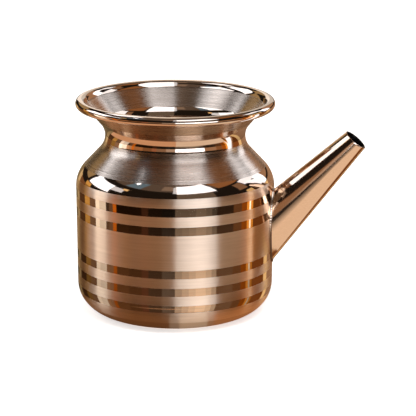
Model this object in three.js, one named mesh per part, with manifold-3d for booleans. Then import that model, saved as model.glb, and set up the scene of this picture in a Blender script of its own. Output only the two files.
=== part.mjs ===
// A spouted metal kalash: a small round water pot with a rolled mouth and a tapered side spout.
// The pot is sheet metal throughout. A drawn cup forms the base, the wall and the rounded shoulder.
// A spun collar forms the cone, the neck, the flared mouth, a short steeper lip and the rolled rim.
// The two meet edge to edge at a weld ring on the shoulder. The spout is a tapered tube of sheet,
// nearly round at the mouth and drawn out to a tall oval at its root. A lengthwise weld closes it
// along its underside, and a weld bead joins its root to the wall round an oval hole.
// Millimetres. +Z is up, the pot's axis is Z, the base stands on z = 0 and the spout points along +X.

import * as THREE from "three";
import { mergeVertices } from "three/addons/utils/BufferGeometryUtils.js";
import Module from "manifold-3d";

const { degToRad, lerp } = THREE.MathUtils;

// Driving dimensions of the pot, to the outer face of the sheet. The wall is wider at its top by its
// taper, and the neck lies its inset inside the top of the wall, so the mouth keeps the body's width.
const POT_SHEET = 0.7;
const BASE_CORNER_WIDTH = 15.7;
const BASE_CORNER_HEIGHT = 14.9;
const WALL_BOTTOM_RADIUS = 48;
const WALL_TAPER = 0.55;
const WALL_TOP_HEIGHT = 63;
const SHOULDER_ROUND = 15;
const CONE_SLOPE = degToRad(43.2);
const NECK_INSET = 14.35;
const NECK_LOWER_ROUND = 10.4;
const NECK_UPPER_ROUND = 9.1;
const FLARE_SLOPE = degToRad(40.1);
const FLARE_LENGTH = 11;
const LIP_ROUND = 8.2;
const LIP_SLOPE = degToRad(24);
const RIM_ROLL_RADIUS = 2.35;
const RIM_ROLL_TURN = degToRad(308);

// The weld ring that joins cup and collar: its place up the cone, its width and its inner bead.
const RING_WELD_RISE = 2.6;
const RING_WELD_WIDTH = 0.9;
const RING_WELD_PROUD = 0.3;
const RING_WELD_GAP = 0.1;

// Driving dimensions of the spout. Its root sits a set drop below the top of the wall.
const SPOUT_SHEET = 0.7;
const SPOUT_ROOT_DROP = 16.5;
const SPOUT_ROOT_HALF_HEIGHT = 12;
const SPOUT_ROOT_HALF_WIDTH = 6.5;
const SPOUT_MOUTH_HALF_HEIGHT = 5.9;
const SPOUT_MOUTH_HALF_WIDTH = 6.8;
const SPOUT_SLOPE = degToRad(46.8);
const SPOUT_LENGTH = 57.8;
const SPOUT_MOUTH_TILT = degToRad(51);
const SPOUT_HOLE_LEDGE = 2.2;

// The bead round the spout's root, and the weld that fills the slit along its underside.
const ROOT_WELD_RADIUS = 1.3;
const ROOT_WELD_GAP = 0.1;
const SPOUT_WALL_GAP = 0.3;
const SEAM_SLIT = 1.8;
const SEAM_WELD_PROUD = 0.3;
const SEAM_WELD_GAP = 0.3;

// Fineness of the round surfaces.
const POT_SEGMENTS = 64;
const ARC_STEP = degToRad(11);
const ROLL_STEP = degToRad(30);
const SPOUT_SEGMENTS = 36;
const SPOUT_STATIONS = 8;
const ROOT_WELD_STEPS = 60;
const ROOT_WELD_SIDES = 8;

const wasm = await Module();
wasm.setup();

const metal = (color, roughness) =>
  new THREE.MeshStandardMaterial({ color, roughness, metalness: 1 });

// A solid for cutting and joining, from a closed geometry.
function toSolid(geometry) {
  const bare = geometry.clone();
  bare.deleteAttribute("normal");
  bare.deleteAttribute("uv");
  const merged = mergeVertices(bare, 1e-4);
  return new wasm.Manifold(
    new wasm.Mesh({
      numProp: 3,
      vertProperties: merged.attributes.position.array,
      triVerts: new Uint32Array(merged.index.array),
    }),
  );
}

// A geometry from a cut or joined solid.
function toGeometry(solid) {
  const mesh = solid.getMesh();
  const geometry = new THREE.BufferGeometry();
  geometry.setAttribute("position", new THREE.BufferAttribute(mesh.vertProperties, 3));
  geometry.setIndex(new THREE.BufferAttribute(mesh.triVerts, 1));
  geometry.computeVertexNormals();
  return geometry;
}

// Moves each vertex of a geometry to the place that the function gives for it.
function reshape(geometry, place) {
  const position = geometry.attributes.position;
  for (let i = 0; i < position.count; i++) {
    const vertex = place(new THREE.Vector3().fromBufferAttribute(position, i));
    position.setXYZ(i, vertex.x, vertex.y, vertex.z);
  }
  return geometry;
}

// Outline points (radius, height) on an arc, or on a quarter ellipse where the two radii differ.
function arc(centre, halfWidth, halfHeight, from, to, step = ARC_STEP) {
  const steps = Math.ceil(Math.abs(to - from) / step);
  return Array.from({ length: steps + 1 }, (_, i) => {
    const angle = lerp(from, to, i / steps);
    return new THREE.Vector2(
      centre.x + halfWidth * Math.cos(angle),
      centre.y + halfHeight * Math.sin(angle),
    );
  });
}

// Turns an outline round the pot's axis, which is Z.
function turned(outline) {
  return new THREE.LatheGeometry(outline, POT_SEGMENTS).rotateX(Math.PI / 2);
}

// The outline's arcs and straights, each starting where the one before it ends.
const cornerCentre = new THREE.Vector2(WALL_BOTTOM_RADIUS - BASE_CORNER_WIDTH, BASE_CORNER_HEIGHT);
const wallTopRadius = WALL_BOTTOM_RADIUS + WALL_TAPER;
const neckRadius = wallTopRadius - NECK_INSET;
const shoulderCentre = new THREE.Vector2(wallTopRadius - SHOULDER_ROUND, WALL_TOP_HEIGHT);
const coneStart = new THREE.Vector2(
  shoulderCentre.x + SHOULDER_ROUND * Math.cos(CONE_SLOPE),
  shoulderCentre.y + SHOULDER_ROUND * Math.sin(CONE_SLOPE),
);
const coneEndRadius = neckRadius + NECK_LOWER_ROUND * (1 - Math.cos(CONE_SLOPE));
const coneRise = (coneStart.x - coneEndRadius) / Math.tan(CONE_SLOPE);
const neckHeight = coneStart.y + coneRise + NECK_LOWER_ROUND * Math.sin(CONE_SLOPE);
const lowerNeckCentre = new THREE.Vector2(neckRadius + NECK_LOWER_ROUND, neckHeight);
const upperNeckCentre = new THREE.Vector2(neckRadius + NECK_UPPER_ROUND, neckHeight);
const flareEnd = new THREE.Vector2(
  upperNeckCentre.x - NECK_UPPER_ROUND * Math.cos(FLARE_SLOPE) + FLARE_LENGTH * Math.sin(FLARE_SLOPE),
  upperNeckCentre.y + NECK_UPPER_ROUND * Math.sin(FLARE_SLOPE) + FLARE_LENGTH * Math.cos(FLARE_SLOPE),
);
const lipCentre = new THREE.Vector2(
  flareEnd.x - LIP_ROUND * Math.cos(FLARE_SLOPE),
  flareEnd.y + LIP_ROUND * Math.sin(FLARE_SLOPE),
);
const rollBore = RIM_ROLL_RADIUS - POT_SHEET;
const rollCentre = new THREE.Vector2(
  lipCentre.x + (LIP_ROUND + rollBore) * Math.cos(LIP_SLOPE),
  lipCentre.y - (LIP_ROUND + rollBore) * Math.sin(LIP_SLOPE),
);

// A point on the cone, a distance up from its start and an inset into the sheet.
function onCone(distance, inset) {
  return new THREE.Vector2(
    coneStart.x - distance * Math.sin(CONE_SLOPE) - inset * Math.cos(CONE_SLOPE),
    coneStart.y + distance * Math.cos(CONE_SLOPE) - inset * Math.sin(CONE_SLOPE),
  );
}

// One face of the cup, from the base's centre to the ring weld. Inset 0 is the outer face.
function cupFace(inset) {
  const corner = [BASE_CORNER_WIDTH - inset, BASE_CORNER_HEIGHT - inset];
  const round = SHOULDER_ROUND - inset;
  return [
    new THREE.Vector2(0, inset),
    ...arc(cornerCentre, ...corner, -Math.PI / 2, 0),
    ...arc(shoulderCentre, round, round, 0, CONE_SLOPE),
    onCone(RING_WELD_RISE - RING_WELD_WIDTH / 2 - RING_WELD_GAP, inset),
  ];
}

// One face of the collar, from the ring weld to the end of the curl in the rim.
// The outer face of the neck turns into the bore of the curl, and the inner face into its outside.
function collarFace(inset) {
  const lower = NECK_LOWER_ROUND + inset;
  const upper = NECK_UPPER_ROUND + inset;
  const lip = LIP_ROUND - inset;
  const roll = rollBore + inset;
  const rollStart = Math.PI - LIP_SLOPE;
  return [
    onCone(RING_WELD_RISE + RING_WELD_WIDTH / 2 + RING_WELD_GAP, inset),
    ...arc(lowerNeckCentre, lower, lower, Math.PI + CONE_SLOPE, Math.PI),
    ...arc(upperNeckCentre, upper, upper, Math.PI, Math.PI - FLARE_SLOPE).slice(1),
    ...arc(lipCentre, lip, lip, -FLARE_SLOPE, -LIP_SLOPE),
    ...arc(rollCentre, roll, roll, rollStart, rollStart - RIM_ROLL_TURN, ROLL_STEP).slice(1),
  ];
}

// The pot's whole volume below the ring weld, grown by a margin, for fitting the spout to the wall.
function cupVolume(margin) {
  const outline = cupFace(-margin);
  const top = outline[outline.length - 1].y;
  return toSolid(turned([...outline, new THREE.Vector2(0, top)]));
}

// The wall's outer radius at a height, read along the cup's outer face.
const wallFace = cupFace(0);
function wallRadius(height) {
  const above = Math.max(1, wallFace.findIndex((point) => point.y > height));
  const [low, high] = [wallFace[above - 1], wallFace[above]];
  return lerp(low.x, high.x, (height - low.y) / (high.y - low.y));
}

// The spout's own directions, and the centres of its root on the wall and of its mouth.
const rootHeight = WALL_TOP_HEIGHT - SPOUT_ROOT_DROP;
const rootCentre = new THREE.Vector3(wallRadius(rootHeight), 0, rootHeight);
const alongSpout = new THREE.Vector3(Math.cos(SPOUT_SLOPE), 0, Math.sin(SPOUT_SLOPE));
const upFromSpout = new THREE.Vector3(-Math.sin(SPOUT_SLOPE), 0, Math.cos(SPOUT_SLOPE));
const mouthCentre = rootCentre.clone().addScaledVector(alongSpout, SPOUT_LENGTH);

// The spout's half height and half width at a distance from the root, grown by a margin.
function spoutHalves(distance, margin) {
  const share = distance / SPOUT_LENGTH;
  return {
    up: lerp(SPOUT_ROOT_HALF_HEIGHT, SPOUT_MOUTH_HALF_HEIGHT, share) + margin,
    side: lerp(SPOUT_ROOT_HALF_WIDTH, SPOUT_MOUTH_HALF_WIDTH, share) + margin,
  };
}

// A point of the spout at a distance from the root. Side and up are 1 on the surface.
function spoutPoint(distance, side, up, margin) {
  const halves = spoutHalves(distance, margin);
  const point = rootCentre.clone().addScaledVector(alongSpout, distance);
  point.addScaledVector(upFromSpout, up * halves.up);
  point.y = side * halves.side;
  return point;
}

// The spout as a full solid that reaches into the pot and past the mouth, grown by a margin.
const spoutOverrun = 2 * SPOUT_ROOT_HALF_HEIGHT;
function spoutVolume(margin) {
  const rod = new THREE.CylinderGeometry(1, 1, 1, SPOUT_SEGMENTS, SPOUT_STATIONS);
  const place = ({ x, y, z }) => {
    const distance = lerp(-spoutOverrun, SPOUT_LENGTH + SPOUT_MOUTH_HALF_HEIGHT, 0.5 + y);
    return spoutPoint(distance, -x, z, margin);
  };
  return toSolid(reshape(rod, place));
}

// Everything beyond the mouth's plane, which trims the spout.
function beyondMouth() {
  const size = 2 * spoutOverrun;
  const block = new THREE.BoxGeometry(size, size, size);
  block.translate(0, 0, size / 2);
  block.rotateY(Math.PI / 2 - SPOUT_MOUTH_TILT);
  return toSolid(block.translate(mouthCentre.x, 0, mouthCentre.z));
}

// A slab of a given width under the spout's axis, for the slit and for the weld in it.
function undersideSlab(width) {
  const length = SPOUT_LENGTH + 2 * spoutOverrun;
  const slab = new THREE.BoxGeometry(length, width, spoutOverrun);
  slab.translate(SPOUT_LENGTH / 2, 0, -spoutOverrun / 2);
  slab.rotateY(-SPOUT_SLOPE);
  return toSolid(slab.translate(rootCentre.x, 0, rootCentre.z));
}

// The distance along the spout at which one of its rulings crosses the wall's outer face.
function distanceAtWall(side, up) {
  let [inside, outside] = [-spoutOverrun, SPOUT_LENGTH];
  for (let halving = 0; halving < 40; halving++) {
    const middle = (inside + outside) / 2;
    const point = spoutPoint(middle, side, up, 0);
    if (Math.hypot(point.x, point.y) > wallRadius(point.z)) outside = middle;
    else inside = middle;
  }
  return inside;
}

// The line where the spout's outer face meets the wall, at an angle round the spout.
function rootPoint(angle) {
  const [side, up] = [Math.cos(angle), Math.sin(angle)];
  return spoutPoint(distanceAtWall(side, up), side, up, 0);
}

// The oval hole in the wall under the spout, a ledge smaller all round than the root's line.
function spoutHole() {
  const top = rootPoint(Math.PI / 2).z - SPOUT_HOLE_LEDGE;
  const bottom = rootPoint(-Math.PI / 2).z + SPOUT_HOLE_LEDGE;
  const halfWidth = rootPoint(0).y - SPOUT_HOLE_LEDGE;
  const oval = new THREE.Shape().absellipse(0, 0, (top - bottom) / 2, halfWidth, 0, 2 * Math.PI);
  const depth = rootCentre.x;
  const plug = new THREE.ExtrudeGeometry(oval, { depth, bevelEnabled: false, curveSegments: 18 });
  plug.rotateY(Math.PI / 2);
  return toSolid(plug.translate(depth / 2, 0, (top + bottom) / 2));
}

function bodyCup() {
  const shell = toSolid(turned([...cupFace(0), ...cupFace(POT_SHEET).reverse()]));
  return toGeometry(shell.subtract(spoutHole()));
}

function neckCollar() {
  const outline = [...collarFace(0), ...collarFace(POT_SHEET).reverse()];
  return turned([...outline, outline[0]]);
}

// The ring weld is ground flush outside and stands a little proud inside.
function ringWeld() {
  const [low, high] = [-1, 1].map((end) => RING_WELD_RISE + (end * RING_WELD_WIDTH) / 2);
  const inner = POT_SHEET + RING_WELD_PROUD;
  const outline = [onCone(low, 0), onCone(high, 0), onCone(high, inner), onCone(low, inner)];
  return turned([...outline, outline[0]]);
}

function spoutCone() {
  const shell = spoutVolume(0)
    .subtract(spoutVolume(-SPOUT_SHEET))
    .subtract(cupVolume(SPOUT_WALL_GAP))
    .subtract(beyondMouth())
    .subtract(undersideSlab(SEAM_SLIT));
  return toGeometry(shell);
}

// The bead that fills the corner between spout and wall, as a round cord laid along that corner.
function rootWeld() {
  const ring = new THREE.TorusGeometry(2, 1, ROOT_WELD_SIDES, ROOT_WELD_STEPS);
  const place = ({ x, y, z }) => {
    const angle = Math.atan2(y, x);
    const centre = rootPoint(angle);
    const along = rootPoint(angle + 0.01).sub(rootPoint(angle - 0.01)).normalize();
    const offWall = new THREE.Vector3(centre.x, centre.y, 0).normalize();
    const overWall = new THREE.Vector3().crossVectors(along, offWall).normalize();
    return centre
      .addScaledVector(overWall, ROOT_WELD_RADIUS * (Math.hypot(x, y) - 2))
      .addScaledVector(offWall, ROOT_WELD_RADIUS * z);
  };
  const cord = toSolid(reshape(ring, place));
  return toGeometry(
    cord.subtract(cupVolume(ROOT_WELD_GAP)).subtract(spoutVolume(ROOT_WELD_GAP)),
  );
}

// The weld in the slit, a little proud inside and out, which ends short of the root's bead.
function seamWeld() {
  const strip = spoutVolume(SEAM_WELD_PROUD)
    .subtract(spoutVolume(-SPOUT_SHEET - SEAM_WELD_PROUD))
    .intersect(undersideSlab(SEAM_SLIT - 2 * SEAM_WELD_GAP));
  return toGeometry(
    strip.subtract(cupVolume(ROOT_WELD_RADIUS + SEAM_WELD_GAP)).subtract(beyondMouth()),
  );
}

const satin = metal(0xc79a78, 0.34);
const polished = metal(0xb88a68, 0.1);
const weld = metal(0x7d5e4b, 0.5);

const kalash = new THREE.Group();
kalash.name = "kalash";
const pieces = [
  ["body_cup", bodyCup(), satin],
  ["neck_collar", neckCollar(), satin],
  ["shoulder_weld", ringWeld(), polished],
  ["spout_cone", spoutCone(), polished],
  ["spout_root_weld", rootWeld(), weld],
  ["spout_seam_weld", seamWeld(), weld],
];
for (const [name, geometry, finish] of pieces) {
  const mesh = new THREE.Mesh(geometry, finish.clone());
  mesh.name = name;
  kalash.add(mesh);
}

export default kalash;
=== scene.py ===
# %% [markdown]
# # A spouted kalash
# The real object is a small water pot of thin sheet metal: a drawn cup, a spun collar with a wide
# rolled mouth, and a tapering spout welded to the side. What makes it look real is the turned finish.
# Satin bands, brushed round the axis, alternate with mirror-polished ones, so the same room is
# reflected soft in one band and sharp in the next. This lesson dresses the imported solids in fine
# shells, gives each finish its own material, and lights them as a product photograph is lit.

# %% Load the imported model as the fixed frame
import math

import bmesh
import bpy
from mathutils import Matrix, Vector


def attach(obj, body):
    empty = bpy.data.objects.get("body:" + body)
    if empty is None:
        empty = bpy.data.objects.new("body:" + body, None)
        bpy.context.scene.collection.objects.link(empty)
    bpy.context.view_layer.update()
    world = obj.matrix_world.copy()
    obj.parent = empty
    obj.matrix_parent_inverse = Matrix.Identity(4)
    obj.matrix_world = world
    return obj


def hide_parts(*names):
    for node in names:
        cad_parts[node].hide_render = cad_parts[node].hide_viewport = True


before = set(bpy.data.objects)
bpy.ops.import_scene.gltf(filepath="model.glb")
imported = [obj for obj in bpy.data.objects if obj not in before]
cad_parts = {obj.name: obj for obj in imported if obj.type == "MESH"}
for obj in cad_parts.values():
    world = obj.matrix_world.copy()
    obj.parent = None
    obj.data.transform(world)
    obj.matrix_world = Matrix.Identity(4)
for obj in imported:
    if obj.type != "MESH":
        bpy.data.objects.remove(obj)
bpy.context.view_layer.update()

# %% [markdown]
# ## Sizes
# Blender works in metres here, in the same frame as the solids: the pot's axis is Z, its base stands
# on z = 0 and the spout points along +X. The shells below repeat the pot's driving dimensions, so
# that each surface lies on the solid that it stands for. The wall is wider at its top by its taper,
# and the neck lies its inset inside the top of the wall.

# %% Driving sizes of the pot
MM = 0.001
MICRON = 0.001 * MM
SHEET = 0.7 * MM
BASE_CORNER_WIDTH = 15.7 * MM
BASE_CORNER_HEIGHT = 14.9 * MM
WALL_BOTTOM_RADIUS = 48 * MM
WALL_TAPER = 0.55 * MM
WALL_TOP_RADIUS = WALL_BOTTOM_RADIUS + WALL_TAPER
WALL_TOP_HEIGHT = 63 * MM
SHOULDER_ROUND = 15 * MM
CONE_SLOPE = math.radians(43.2)
NECK_INSET = 14.35 * MM
NECK_RADIUS = WALL_TOP_RADIUS - NECK_INSET
NECK_LOWER_ROUND = 10.4 * MM
NECK_UPPER_ROUND = 9.1 * MM
FLARE_SLOPE = math.radians(40.1)
FLARE_LENGTH = 11 * MM
LIP_ROUND = 8.2 * MM
LIP_SLOPE = math.radians(24)
RIM_ROLL_RADIUS = 2.35 * MM
RIM_ROLL_TURN = math.radians(308)
RING_WELD_RISE = 2.6 * MM
RING_WELD_WIDTH = 0.9 * MM

SPOUT_SHEET = 0.7 * MM
SPOUT_ROOT_DROP = 16.5 * MM
SPOUT_ROOT_HEIGHT = WALL_TOP_HEIGHT - SPOUT_ROOT_DROP
SPOUT_ROOT_HALF_HEIGHT = 12 * MM
SPOUT_ROOT_HALF_WIDTH = 6.5 * MM
SPOUT_MOUTH_HALF_HEIGHT = 5.9 * MM
SPOUT_MOUTH_HALF_WIDTH = 6.8 * MM
SPOUT_SLOPE = math.radians(46.8)
SPOUT_LENGTH = 57.8 * MM
SPOUT_MOUTH_TILT = math.radians(51)
SPOUT_HOLE_LEDGE = 2.2 * MM
along_spout = Vector((math.cos(SPOUT_SLOPE), 0, math.sin(SPOUT_SLOPE)))
print("body", 2 * WALL_TOP_RADIUS / MM, "mm across, spout", SPOUT_LENGTH / MM, "mm long")

# %% [markdown]
# ## The camera
# The photograph was taken with a long lens from about a metre away, a little above the rim's height,
# so that the mouth shows as a flat ellipse and the base curves gently. The camera stands there, and
# looks at a point to the spout's side of the pot's axis, as the photograph's frame does.

# %% Camera at the photograph's viewing angle
CAMERA_TURN = math.radians(8)
CAMERA_RISE = math.radians(14.56)
CAMERA_ROLL = math.radians(0.3)
CAMERA_DISTANCE = 1000.3 * MM
TARGET_RIGHT = 16.12 * MM
TARGET_HEIGHT = 51.08 * MM
SENSOR = 36
LENS = 176.05
CLIP = (0.01, 50)

to_camera = Vector((math.sin(CAMERA_TURN), -math.cos(CAMERA_TURN), 0))
to_right = Vector((math.cos(CAMERA_TURN), math.sin(CAMERA_TURN), 0))
up = Vector((0, 0, 1))
back = to_camera * math.cos(CAMERA_RISE) + up * math.sin(CAMERA_RISE)
camera_up = back.cross(to_right)
camera_x = to_right * math.cos(CAMERA_ROLL) + camera_up * math.sin(CAMERA_ROLL)
camera_y = camera_up * math.cos(CAMERA_ROLL) - to_right * math.sin(CAMERA_ROLL)

camera_data = bpy.data.cameras.new("camera")
camera_data.sensor_width = SENSOR
camera_data.lens = LENS
camera_data.clip_start, camera_data.clip_end = CLIP
camera = bpy.data.objects.new("camera", camera_data)
bpy.context.scene.collection.objects.link(camera)
camera.rotation_mode = "QUATERNION"
camera.location = to_right * TARGET_RIGHT + up * TARGET_HEIGHT + back * CAMERA_DISTANCE
camera.rotation_quaternion = Matrix((camera_x, camera_y, back)).transposed().to_quaternion()
bpy.context.scene.camera = camera
bpy.context.scene.view_settings.view_transform = "Standard"
print("camera at", [round(c, 3) for c in camera.location])

# %% [markdown]
# ## Small helpers
# Every finish here is built from shader nodes. These helpers add a node, set its values and wire it,
# so that each material below reads as a short list of what it does. The last ones are for meshes.

# %% Helpers for nodes and meshes
def add_node(tree, kind, values=None, **settings):
    """A new node of a kind, with its settings and the values or links of its input sockets."""
    node = tree.nodes.new(kind)
    for name, setting in settings.items():
        setattr(node, name, setting)
    for socket, value in (values or {}).items():
        if isinstance(value, bpy.types.NodeSocket):
            tree.links.new(value, node.inputs[socket])
        else:
            node.inputs[socket].default_value = value
    return node


def math_node(tree, operation, *values):
    """One Math node, and its result."""
    node = add_node(tree, "ShaderNodeMath", dict(enumerate(values)), operation=operation)
    return node.outputs[0]


def mixed(tree, factor, first, second, kind="RGBA"):
    """A mix of two colours, or of two values."""
    values = {"Factor": factor, "A": first, "B": second}
    return add_node(tree, "ShaderNodeMix", values, data_type=kind).outputs["Result"]


def ranged(tree, value, start, end, low=0.0, high=1.0):
    """A value carried from one range to another, and held at both ends."""
    limits = {"From Min": start, "From Max": end, "To Min": low, "To Max": high}
    return add_node(tree, "ShaderNodeMapRange", {"Value": value, **limits}).outputs[0]


def speckle(tree, vector, scale, detail, roughness=0.5, fourth=None):
    """Noise in three dimensions, or in four where a fourth coordinate is given."""
    values = {"Vector": vector, "Scale": scale, "Detail": detail, "Roughness": roughness}
    if fourth is None:
        return add_node(tree, "ShaderNodeTexNoise", values).outputs["Fac"]
    values["W"] = fourth
    return add_node(tree, "ShaderNodeTexNoise", values, noise_dimensions="4D").outputs["Fac"]


def object_place(tree):
    """The place of a point on the object, which is also its place in the shared frame."""
    return add_node(tree, "ShaderNodeTexCoord").outputs["Object"]


def object_axes(tree):
    """The same place as three values."""
    parts = add_node(tree, "ShaderNodeSeparateXYZ", {0: object_place(tree)})
    return [parts.outputs[axis] for axis in "XYZ"]


def length_of(tree, vector):
    """The length of a vector."""
    node = add_node(tree, "ShaderNodeVectorMath", {0: vector}, operation="LENGTH")
    return node.outputs["Value"]


def joined(tree, x, y, z):
    """Three values as one vector."""
    return add_node(tree, "ShaderNodeCombineXYZ", {"X": x, "Y": y, "Z": z}).outputs[0]


def new_material(name):
    """An empty node material and its tree."""
    material = bpy.data.materials.new(name)
    material.use_nodes = True
    material.node_tree.nodes.clear()
    return material, material.node_tree


def finish_shader(tree, shader):
    """Wires a shader to the material's output."""
    add_node(tree, "ShaderNodeOutputMaterial", {"Surface": shader.outputs[0]})


def bare_metal(tree, colour, rough, height, depth, more=None):
    """Metal with a bump of a height and a depth, wired to the material's output."""
    bump = add_node(tree, "ShaderNodeBump", {"Height": height, "Strength": 1.0, "Distance": depth})
    values = {"Base Color": colour, "Metallic": 1.0, "Roughness": rough, "Normal": bump.outputs[0]}
    finish_shader(tree, add_node(tree, "ShaderNodeBsdfPrincipled", {**values, **(more or {})}))


def mesh_object(name, bm, materials=()):
    """Makes an object of the scene from a bmesh, and frees the bmesh."""
    mesh = bpy.data.meshes.new(name)
    bm.to_mesh(mesh)
    bm.free()
    for material in materials:
        mesh.materials.append(material)
    made = bpy.data.objects.new(name, mesh)
    bpy.context.scene.collection.objects.link(made)
    return made


def spin_round(bm, parts, steps):
    """Sweeps verts and edges once round the Z axis."""
    whole = {"cent": (0, 0, 0), "axis": (0, 0, 1), "angle": 2 * math.pi, "use_merge": True}
    bmesh.ops.spin(bm, geom=parts, steps=steps, **whole)


def angle_and_key(vert):
    """A vertex's angle round the Z axis, and the same to a few places, as a key."""
    angle = math.atan2(vert.co.y, vert.co.x)
    return angle, round(angle, 4)


# %% [markdown]
# ## The floor and the white background
# The photograph's background is pure white. The floor is a wide pale disc that stays white to the
# camera, and to the metal that mirrors it, by a plain glow of its own, and it keeps the pot's soft
# shadow because the rest of its brightness comes from the lamps. The world is white in the same way.

# %% Floor and world
FLOOR_RADIUS = 6.0
FLOOR_SIDES = 96
FLOOR_COLOUR = (0.86, 0.84, 0.82, 1)
FLOOR_GLOW = 0.62
WORLD_LEVEL = (0.5, 0.48, 0.46, 1)
WHITE = (1, 1, 1, 1)


def seen_directly(tree):
    """1 where the ray comes from the camera, a mirror or glass, and 0 elsewhere."""
    path = tree.nodes.new("ShaderNodeLightPath")
    seen = math_node(tree, "MAXIMUM", path.outputs["Is Camera Ray"], path.outputs["Is Glossy Ray"])
    return math_node(tree, "MAXIMUM", seen, path.outputs["Is Transmission Ray"])


floor_material, tree = new_material("floor_white")
matt = add_node(tree, "ShaderNodeBsdfDiffuse", {"Color": FLOOR_COLOUR})
glow_strength = math_node(tree, "MULTIPLY", seen_directly(tree), FLOOR_GLOW)
glow = add_node(tree, "ShaderNodeEmission", {"Color": WHITE, "Strength": glow_strength})
both = {0: matt.outputs[0], 1: glow.outputs[0]}
finish_shader(tree, add_node(tree, "ShaderNodeAddShader", both))

bm = bmesh.new()
bmesh.ops.create_circle(bm, cap_ends=True, radius=FLOOR_RADIUS, segments=FLOOR_SIDES)
floor = mesh_object("floor", bm, [floor_material])

world = bpy.data.worlds.new("white_world")
world.use_nodes = True
world_tree = world.node_tree
world_tree.nodes.clear()
shown = mixed(world_tree, seen_directly(world_tree), WORLD_LEVEL, WHITE)
background = add_node(world_tree, "ShaderNodeBackground", {"Color": shown})
add_node(world_tree, "ShaderNodeOutputWorld", {"Surface": background.outputs[0]})
bpy.context.scene.world = world
print("floor radius", FLOOR_RADIUS, "m, glow", FLOOR_GLOW)

# %% [markdown]
# ## Cards and soft boxes
# Mirror-like metal has no look of its own: it shows what stands round it. A product photographer
# puts dark cards round such a pot, so that its edges and polished bands read dark, and leaves gaps
# where soft boxes shine through. The cards here are curved sheets, placed by their angle from the
# camera, and only the metal sees them. Polished bands on an upright wall mirror the table a hand's
# breadth in front of the pot, so the table has sectors of its own, close above the white floor.

# %% Helpers for cards
CARD_COLUMNS = 32
CARD_ROWS = 4


def studio_point(turn, rise, distance):
    """A point at an angle to the camera's right, an angle above the horizon and a distance."""
    level = to_camera * math.cos(turn) + to_right * math.sin(turn)
    return (level * math.cos(rise) + up * math.sin(rise)) * distance


def mirrored_point(turn, rise, distance):
    """What the wall mirrors in a direction: its light leaves from the wall at half the turn."""
    return studio_point(turn / 2, 0, WALL_TOP_RADIUS) + studio_point(turn, rise, distance)


def between(pair, share):
    """A value on the way from the first of a pair to the second."""
    return pair[0] + (pair[1] - pair[0]) * share


def tinted(tint, level):
    """A tint at a level of brightness."""
    return tuple(channel * level for channel in tint)


def glow_material(name, near, far=None, reaches=(0, 1), leaning=None):
    """A glow that goes from one colour to another with the distance from the pot's axis.

    With a pair of leanings it is clear when seen at a low angle and glows when seen from above.
    """
    material, tree = new_material(name)
    share = ranged(tree, length_of(tree, object_place(tree)), *reaches)
    colour = mixed(tree, share, (*near, 1), (*(far or near), 1))
    glow = add_node(tree, "ShaderNodeEmission", {"Color": colour})
    if leaning:
        facing = add_node(tree, "ShaderNodeLayerWeight", {"Blend": 0.5})
        seen = ranged(tree, facing.outputs["Facing"], *leaning)
        clear = add_node(tree, "ShaderNodeBsdfTransparent")
        parts = {0: seen, 1: clear.outputs[0], 2: glow.outputs[0]}
        glow = add_node(tree, "ShaderNodeMixShader", parts)
    finish_shader(tree, glow)
    return material


def stage_sheet(name, place, material):
    """A grid moved into place, which only mirrors see. Across and along run from 0 to 1."""
    bm = bmesh.new()
    bmesh.ops.create_grid(bm, x_segments=CARD_COLUMNS, y_segments=CARD_ROWS, size=0.5)
    for vert in bm.verts:
        vert.co = place(vert.co.x + 0.5, vert.co.y + 0.5)
    sheet = mesh_object(name, bm, [material])
    sheet.visible_camera = False
    sheet.visible_diffuse = False
    sheet.visible_shadow = False


def card(name, turns, rises, distance, colour, point=studio_point):
    """A curved card. Turns and rises are pairs of angles in degrees."""

    def place(across, along):
        turn, rise = between(turns, across), between(rises, along)
        return point(math.radians(turn), math.radians(rise), distance)

    stage_sheet(name, place, glow_material(name, colour))


def table_sector(name, turns, reaches, height, material, point=studio_point):
    """A sector of the table, between two distances and just over the floor."""

    def place(across, along):
        turn = math.radians(between(turns, across))
        return point(turn, 0, between(reaches, along)) + up * height

    stage_sheet(name, place, material)

# %% Tints of the studio
DAYLIGHT = (1.0, 0.95, 0.88)
COOL = (0.93, 1.07, 1.30)
CREAM = (1.0, 0.82, 0.66)
GREY_BROWN = (1.0, 0.76, 0.60)
BROWN = (1.0, 0.58, 0.34)
UMBER = (1.0, 0.45, 0.18)
RED = (1.0, 0.40, 0.20)
RUST = (1.0, 0.33, 0.08)
ORANGE = (1.0, 0.26, 0.02)
GOLD = (1.0, 0.55, 0.14)
PALE_GOLD = (1.0, 0.72, 0.36)
AMBER = (1.0, 0.42, 0.06)
BLUE = (0.42, 0.70, 1.0)

# %% [markdown]
# ## The room over the pot
# The dark surround closes the space round the pot and the brown ceiling the space over it. Windows
# and lamps stand in front of them, each a little nearer than the one before it, so that a later one
# covers an earlier one. The shoulder, the lip and the rim mirror these. One small window hangs close
# over the left of the pot and shines into the mouth.

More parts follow.
